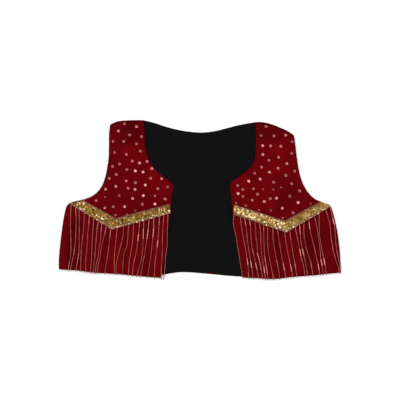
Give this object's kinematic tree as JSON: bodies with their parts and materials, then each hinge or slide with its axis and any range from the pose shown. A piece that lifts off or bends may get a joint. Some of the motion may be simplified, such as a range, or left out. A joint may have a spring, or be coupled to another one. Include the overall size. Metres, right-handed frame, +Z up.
{
  "type": "velvet vest laid flat",
  "caption": "Cropped sleeveless dark red velvet vest laid flat and face up, with a black lining showing at the back, gold V trims and gold bead fringes.",
  "frame": {"origin": "on the table under the middle of the vest's outline", "axes": "+X to the right as seen from above, +Y towards the neck, +Z up from the table"},
  "size_m": [0.5075, 0.2876, 0.0109],
  "materials": {
    "velvet": "dark red cotton velvet with a soft pile",
    "lining": "black plain-woven lining",
    "ribbon": "gold sequin ribbon with beaded edges",
    "beads": "glossy gold tube beads on thread"
  },
  "bodies": {
    "root": {"back_velvet": "velvet", "back_lining": "lining", "front_left": "velvet", "front_right": "velvet", "band_left": "ribbon", "band_right": "ribbon", "fringe_left": "beads", "fringe_right": "beads"}
  },
  "joints": []
}
